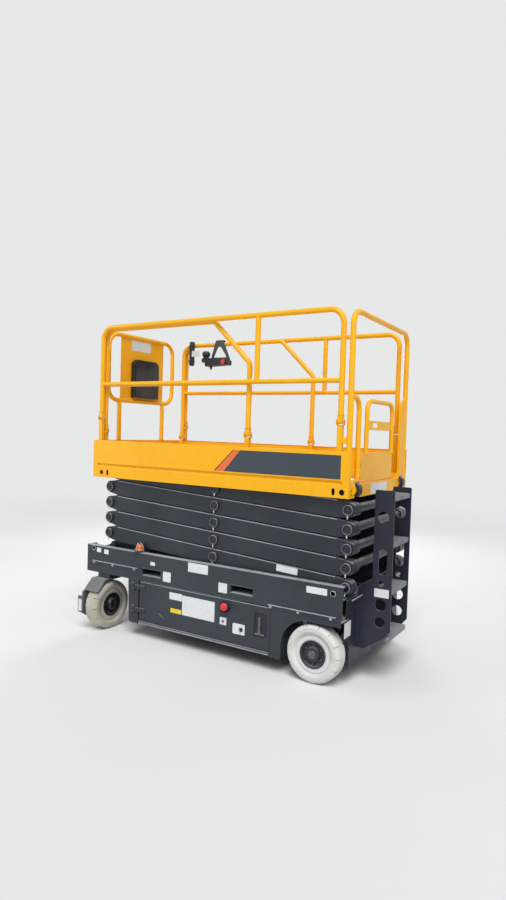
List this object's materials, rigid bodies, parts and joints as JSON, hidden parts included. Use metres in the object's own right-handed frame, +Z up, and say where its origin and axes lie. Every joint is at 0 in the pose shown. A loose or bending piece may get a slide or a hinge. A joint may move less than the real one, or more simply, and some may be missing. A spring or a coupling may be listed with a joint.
{
  "type": "electric scissor lift",
  "caption": "Self-propelled scissor lift with steered front wheels, side trays, a five-stage arm stack and a railed platform with a roll-out deck.",
  "frame": {"origin": "on the floor, under the middle of the machine's box", "axes": "+X to the steered end, +Y to the machine's left, +Z up"},
  "size_m": [2.48, 1.4433, 2.4419],
  "materials": {
    "dark_paint": "satin blue-grey paint",
    "arm_paint": "satin dark paint",
    "yellow_paint": "satin yellow paint",
    "step_paint": "grey paint, worn",
    "ladder_paint": "satin dark paint",
    "tyre_rubber": "non-marking solid rubber",
    "rim_paint": "dark paint",
    "yoke_paint": "satin paint",
    "rod_chrome": "polished rod",
    "barrel_paint": "black paint",
    "battery_case": "moulded plastic",
    "tank_paint": "black paint",
    "control_plastic": "moulded plastic",
    "box_plastic": "moulded plastic",
    "lamp_amber": "clear amber plastic"
  },
  "bodies": {
    "chassis": {"chassis_frame": "dark_paint", "beam_left": "dark_paint", "beam_right": "dark_paint", "fork_pockets": "dark_paint", "side_panels": "dark_paint", "rear_axle": "dark_paint", "ladder_frame": "ladder_paint", "ladder_steps": "step_paint", "beacon": "lamp_amber"},
    "knuckle_left": {"yoke_left": "yoke_paint"},
    "knuckle_right": {"yoke_right": "yoke_paint"},
    "wheel_front_left": {"tyre_front_left": "tyre_rubber", "rim_front_left": "rim_paint"},
    "wheel_front_right": {"tyre_front_right": "tyre_rubber", "rim_front_right": "rim_paint"},
    "wheel_rear_left": {"tyre_rear_left": "tyre_rubber", "rim_rear_left": "rim_paint"},
    "wheel_rear_right": {"tyre_rear_right": "tyre_rubber", "rim_rear_right": "rim_paint"},
    "tray_left": {"tray_left": "dark_paint", "batteries": "battery_case", "ground_controls": "control_plastic"},
    "tray_right": {"tray_right": "dark_paint", "hydraulic_tank": "tank_paint"},
    "guard_left": {"pothole_guard_left": "dark_paint"},
    "guard_right": {"pothole_guard_right": "dark_paint"},
    "outer_1": {"outer_arms_1": "arm_paint"},
    "inner_1": {"inner_arms_1": "arm_paint"},
    "outer_2": {"outer_arms_2": "arm_paint"},
    "inner_2": {"inner_arms_2": "arm_paint"},
    "outer_3": {"outer_arms_3": "arm_paint"},
    "inner_3": {"inner_arms_3": "arm_paint"},
    "outer_4": {"outer_arms_4": "arm_paint"},
    "inner_4": {"inner_arms_4": "arm_paint"},
    "outer_5": {"outer_arms_5": "arm_paint"},
    "inner_5": {"inner_arms_5": "arm_paint"},
    "cylinder_barrel": {"cylinder_barrel": "barrel_paint"},
    "cylinder_rod": {"cylinder_rod": "rod_chrome"},
    "platform": {"platform_deck": "yellow_paint", "rear_frame": "yellow_paint"},
    "extension": {"extension_deck": "yellow_paint", "front_rail": "yellow_paint", "document_box": "box_plastic"},
    "rail_left": {"side_rail_left": "yellow_paint"},
    "rail_right": {"side_rail_right": "yellow_paint"},
    "extension_rail_left": {"extension_rail_left": "yellow_paint"},
    "extension_rail_right": {"extension_rail_right": "yellow_paint", "control_box": "control_plastic", "box_controls": "control_plastic"},
    "gate": {"gate": "yellow_paint"}
  },
  "joints": [
    {"name": "lift", "type": "hinge", "parent": "chassis", "child": "outer_1", "pos_m": [-1, 0, 0.644], "axis": [0, -1, 0], "range_deg": [0, 58]},
    {"name": "cross_1", "type": "hinge", "parent": "outer_1", "child": "inner_1", "pos_m": [0.02863, 0, 0.706], "axis": [0, -1, 0], "range_deg": [-116, 0]},
    {"name": "rear_pin_1", "type": "hinge", "parent": "inner_1", "child": "outer_2", "pos_m": [-1, 0, 0.768], "axis": [0, -1, 0], "range_deg": [0, 116]},
    {"name": "cross_2", "type": "hinge", "parent": "outer_2", "child": "inner_2", "pos_m": [0.02863, 0, 0.83], "axis": [0, -1, 0], "range_deg": [-116, 0]},
    {"name": "rear_pin_2", "type": "hinge", "parent": "inner_2", "child": "outer_3", "pos_m": [-1, 0, 0.892], "axis": [0, -1, 0], "range_deg": [0, 116]},
    {"name": "cross_3", "type": "hinge", "parent": "outer_3", "child": "inner_3", "pos_m": [0.02863, 0, 0.954], "axis": [0, -1, 0], "range_deg": [-116, 0]},
    {"name": "rear_pin_3", "type": "hinge", "parent": "inner_3", "child": "outer_4", "pos_m": [-1, 0, 1.016], "axis": [0, -1, 0], "range_deg": [0, 116]},
    {"name": "cross_4", "type": "hinge", "parent": "outer_4", "child": "inner_4", "pos_m": [0.02863, 0, 1.078], "axis": [0, -1, 0], "range_deg": [-116, 0]},
    {"name": "rear_pin_4", "type": "hinge", "parent": "inner_4", "child": "outer_5", "pos_m": [-1, 0, 1.14], "axis": [0, -1, 0], "range_deg": [0, 116]},
    {"name": "cross_5", "type": "hinge", "parent": "outer_5", "child": "inner_5", "pos_m": [0.02863, 0, 1.202], "axis": [0, -1, 0], "range_deg": [-116, 0]},
    {"name": "platform_pin", "type": "hinge", "parent": "inner_5", "child": "platform", "pos_m": [-1, 0, 1.264], "axis": [0, -1, 0], "range_deg": [0, 58]},
    {"name": "cylinder_foot", "type": "hinge", "parent": "chassis", "child": "cylinder_barrel", "pos_m": [0.9, 0, 0.6], "axis": [0, 1, 0], "range_deg": [0, 33.89]},
    {"name": "cylinder_stroke", "type": "slide", "parent": "cylinder_barrel", "child": "cylinder_rod", "axis": [-0.9994, 0, 0.0333], "range_m": [0, 0.828]},
    {"name": "steer_left", "type": "hinge", "parent": "chassis", "child": "knuckle_left", "pos_m": [1.06, 0.5315, 0.4], "axis": [0, 0, 1], "range_deg": [-150.5, 0]},
    {"name": "steer_right", "type": "hinge", "parent": "chassis", "child": "knuckle_right", "pos_m": [1.06, -0.5315, 0.4], "axis": [0, 0, 1], "range_deg": [-101.17, 0]},
    {"name": "roll_front_left", "type": "hinge", "parent": "knuckle_left", "child": "wheel_front_left", "pos_m": [1.06, 0.5315, 0.1905], "axis": [-1, 0, 0], "continuous": true},
    {"name": "roll_rear_left", "type": "hinge", "parent": "chassis", "child": "wheel_rear_left", "pos_m": [-0.81, 0.5315, 0.1905], "axis": [0, 1, 0], "continuous": true},
    {"name": "roll_front_right", "type": "hinge", "parent": "knuckle_right", "child": "wheel_front_right", "pos_m": [1.06, -0.5315, 0.1905], "axis": [-0.8704, 0.4924, 0], "continuous": true},
    {"name": "roll_rear_right", "type": "hinge", "parent": "chassis", "child": "wheel_rear_right", "pos_m": [-0.81, -0.5315, 0.1905], "axis": [0, 1, 0], "continuous": true},
    {"name": "tray_swing_left", "type": "hinge", "parent": "chassis", "child": "tray_left", "pos_m": [0.727, 0.594, 0.3], "axis": [0, 0, -1], "range_deg": [0, 95]},
    {"name": "guard_drop_left", "type": "hinge", "parent": "chassis", "child": "guard_left", "pos_m": [0.1, 0.5745, 0.1235], "axis": [1, 0, 0], "range_deg": [0, 90]},
    {"name": "tray_swing_right", "type": "hinge", "parent": "chassis", "child": "tray_right", "pos_m": [0.727, -0.594, 0.3], "axis": [0, 0, 1], "range_deg": [0, 95]},
    {"name": "guard_drop_right", "type": "hinge", "parent": "chassis", "child": "guard_right", "pos_m": [0.1, -0.5745, 0.1235], "axis": [-1, 0, 0], "range_deg": [0, 90]},
    {"name": "extension_slide", "type": "slide", "parent": "platform", "child": "extension", "axis": [1, 0, 0], "range_m": [0, 0.9]},
    {"name": "rail_fold_left", "type": "hinge", "parent": "platform", "child": "rail_left", "pos_m": [0.1, 0.548, 1.7], "axis": [-1, 0, 0], "range_deg": [-90, 0]},
    {"name": "extension_rail_fold_left", "type": "hinge", "parent": "extension", "child": "extension_rail_left", "pos_m": [0.1, 0.505, 1.6], "axis": [-1, 0, 0], "range_deg": [-90, 0]},
    {"name": "rail_fold_right", "type": "hinge", "parent": "platform", "child": "rail_right", "pos_m": [0.1, -0.548, 1.65], "axis": [1, 0, 0], "range_deg": [-90, 0]},
    {"name": "extension_rail_fold_right", "type": "hinge", "parent": "extension", "child": "extension_rail_right", "pos_m": [0.1, -0.505, 1.55], "axis": [1, 0, 0], "range_deg": [-90, 0]},
    {"name": "gate_swing", "type": "hinge", "parent": "platform", "child": "gate", "pos_m": [-0.997, 0.364, 1.4], "axis": [0, 0, 1], "range_deg": [0, 90]}
  ],
  "couplings": [
    {"joint": "cross_1", "follows": "lift", "ratio": -2},
    {"joint": "rear_pin_1", "follows": "lift", "ratio": 2},
    {"joint": "cross_2", "follows": "lift", "ratio": -2},
    {"joint": "rear_pin_2", "follows": "lift", "ratio": 2},
    {"joint": "cross_3", "follows": "lift", "ratio": -2},
    {"joint": "rear_pin_3", "follows": "lift", "ratio": 2},
    {"joint": "cross_4", "follows": "lift", "ratio": -2},
    {"joint": "rear_pin_4", "follows": "lift", "ratio": 2},
    {"joint": "cross_5", "follows": "lift", "ratio": -2},
    {"joint": "platform_pin", "follows": "lift", "ratio": 1},
    {"joint": "cylinder_foot", "follows": "lift", "ratio": 0.5842},
    {"joint": "cylinder_stroke", "follows": "lift", "m_per_rad": 0.81739},
    {"joint": "steer_right", "follows": "steer_left", "ratio": 0.6722},
    {"joint": "extension_rail_fold_left", "follows": "rail_fold_left", "ratio": 1},
    {"joint": "extension_rail_fold_right", "follows": "rail_fold_right", "ratio": 1}
  ]
}
